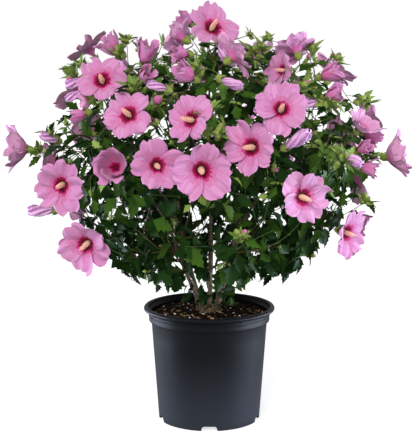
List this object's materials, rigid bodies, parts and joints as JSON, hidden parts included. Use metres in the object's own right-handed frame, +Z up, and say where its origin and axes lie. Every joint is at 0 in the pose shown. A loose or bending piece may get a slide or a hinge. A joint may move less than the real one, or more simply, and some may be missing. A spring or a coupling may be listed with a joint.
{
  "type": "potted flowering shrub",
  "caption": "Rose of sharon shrub in full flower, with many stems from one root crown, open pink blooms, lobed dark green leaves and green bud clusters, in a round black nursery pot.",
  "frame": {"origin": "centre of the pot's underside, on the ground that the pot stands on", "axes": "+Z up along the pot's axis; the shrub's fullest side, with most of the open blooms, faces -Y"},
  "size_m": [0.8338, 0.677, 0.8688],
  "materials": {
    "pot_plastic": "satin moulded black plastic, a little blue-grey",
    "potting_mix": "dark damp bark mix with pale chips and white perlite",
    "bark": "grey-brown young bark, finely ridged",
    "foliage": "dark green leaves with orchid pink blooms, crimson at the eye, and yellow-green buds"
  },
  "bodies": {
    "root": {"pot": "pot_plastic", "potting_mix": "potting_mix", "root_crown": "bark", "stem_1": "bark", "stem_2": "bark", "stem_3": "bark", "stem_4": "bark", "stem_5": "bark", "stem_6": "bark", "stem_7": "bark", "stem_8": "bark", "leader": "bark", "bough_low_1": "bark", "bough_low_2": "bark", "bough_low_3": "bark", "bough_low_4": "bark", "bough_low_5": "bark", "bough_low_6": "bark", "bough_low_7": "bark", "bough_low_8": "bark", "bough_upper_1": "bark", "bough_upper_2": "bark", "bough_upper_3": "bark", "bough_upper_4": "bark", "bough_upper_5": "bark", "bough_upper_6": "bark", "bough_inner_1": "bark", "bough_inner_2": "bark", "bough_inner_3": "bark", "foliage_middle_1": "foliage", "foliage_middle_2": "foliage", "foliage_middle_3": "foliage", "foliage_middle_4": "foliage", "foliage_middle_5": "foliage", "foliage_middle_6": "foliage", "foliage_middle_7": "foliage", "foliage_middle_8": "foliage", "foliage_low_1": "foliage", "foliage_low_2": "foliage", "foliage_low_3": "foliage", "foliage_low_4": "foliage", "foliage_low_5": "foliage", "foliage_low_6": "foliage", "foliage_low_7": "foliage", "foliage_low_8": "foliage", "foliage_upper_1": "foliage", "foliage_upper_2": "foliage", "foliage_upper_3": "foliage", "foliage_upper_4": "foliage", "foliage_upper_5": "foliage", "foliage_upper_6": "foliage", "foliage_inner_1": "foliage", "foliage_inner_2": "foliage", "foliage_inner_3": "foliage", "foliage_top": "foliage"}
  },
  "joints": []
}
